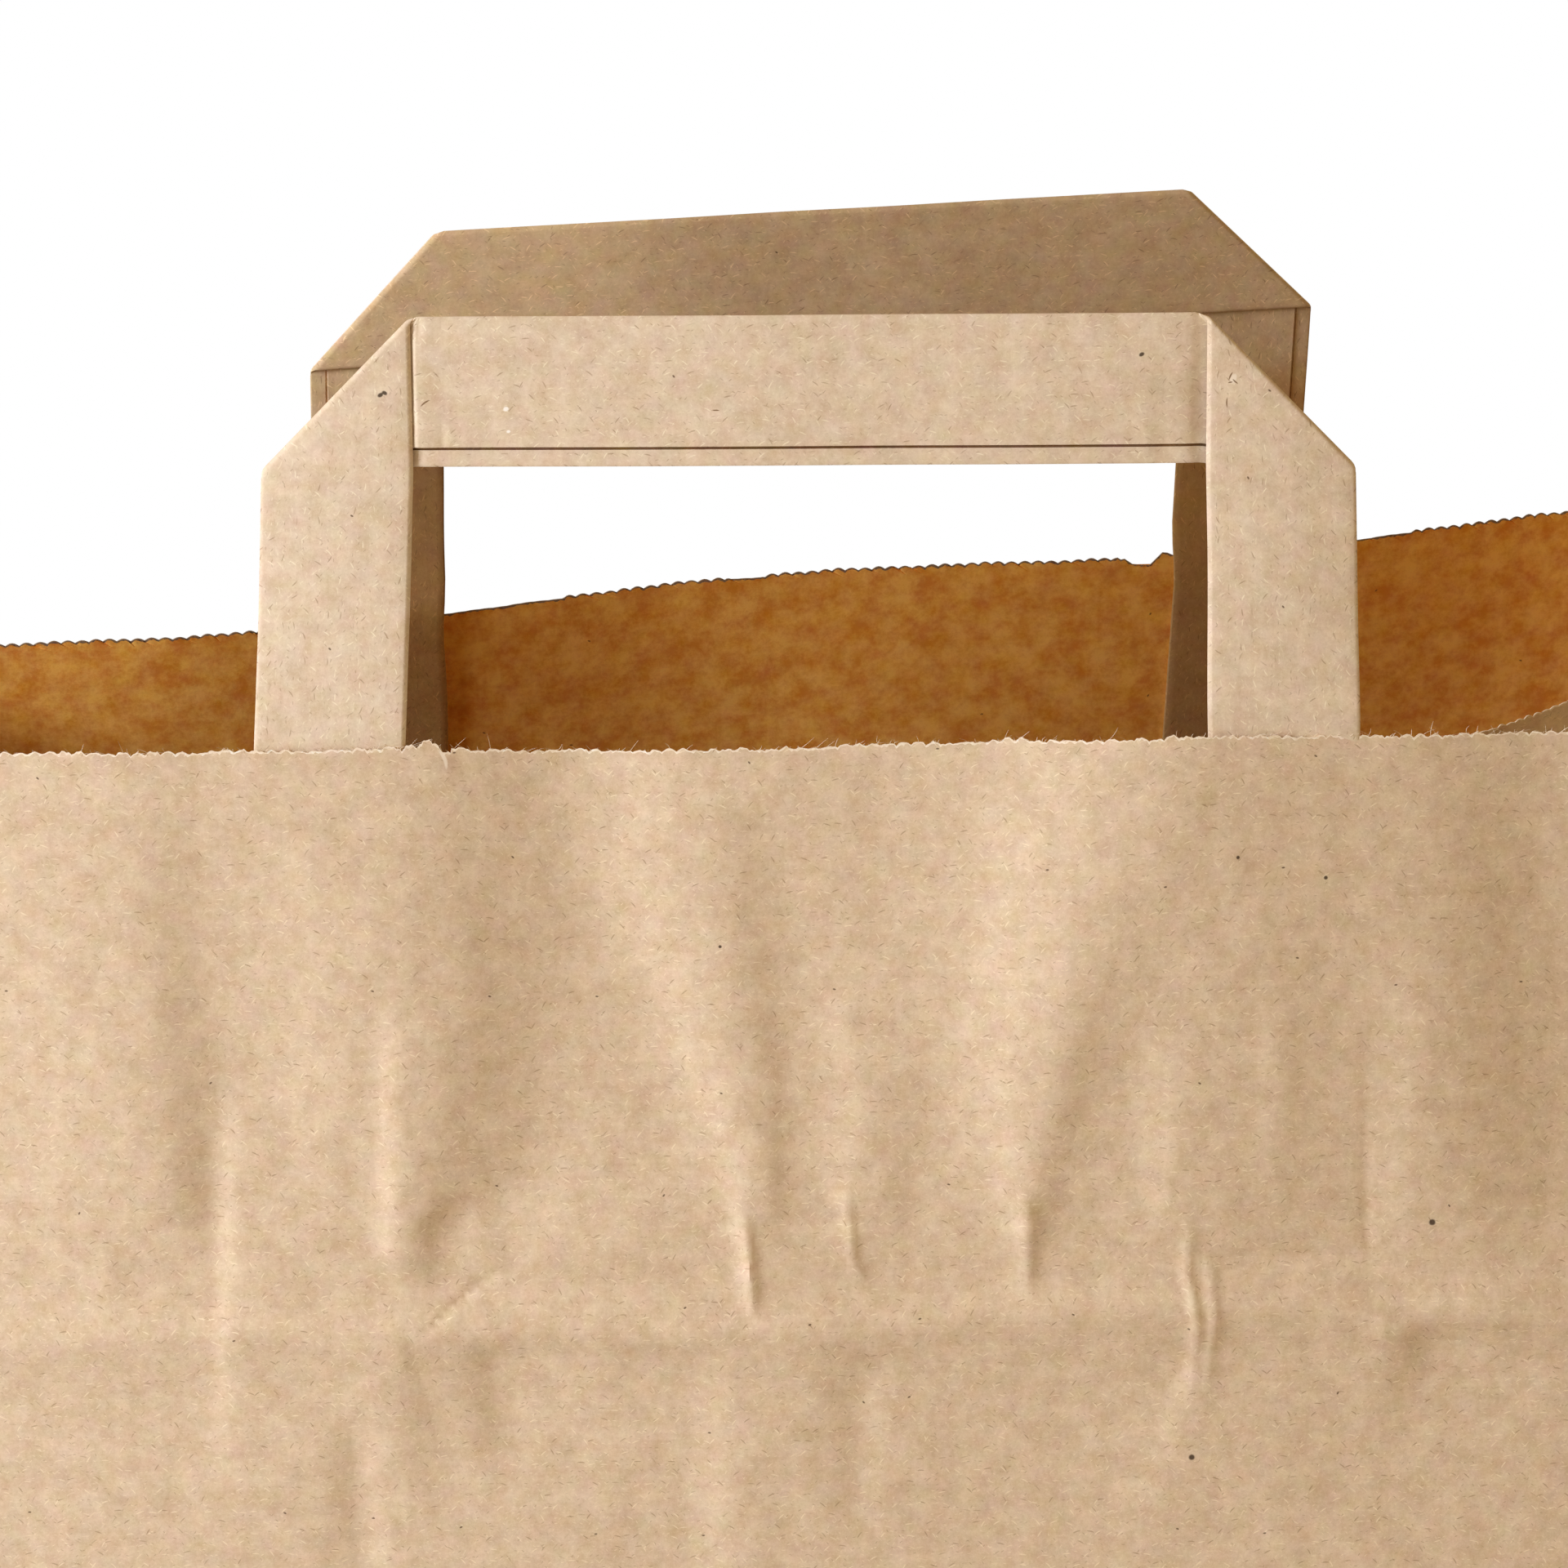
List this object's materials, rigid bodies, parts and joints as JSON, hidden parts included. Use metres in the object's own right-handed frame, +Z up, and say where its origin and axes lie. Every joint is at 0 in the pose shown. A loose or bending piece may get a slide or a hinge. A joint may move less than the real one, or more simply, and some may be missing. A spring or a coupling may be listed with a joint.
{
  "type": "flat handle paper carrier bag",
  "caption": "Open brown kraft paper carrier bag with side gussets, a block bottom, a serrated rim and flat folded paper tape handles.",
  "frame": {"origin": "on the ground, under the middle of the flat bottom", "axes": "+Z up, the front panel faces -Y, +X to the right seen from the front"},
  "size_m": [0.32, 0.17, 0.3271],
  "materials": {
    "kraft_paper": "uncoated brown kraft, soft sheen along the machine direction",
    "handle_tape": "uncoated pale kraft, folded tape",
    "patch_paper": "uncoated brown kraft"
  },
  "bodies": {
    "root": {"bag_body": "kraft_paper", "front_handle": "handle_tape", "back_handle": "handle_tape", "front_handle_patch": "patch_paper", "back_handle_patch": "patch_paper"}
  },
  "joints": []
}
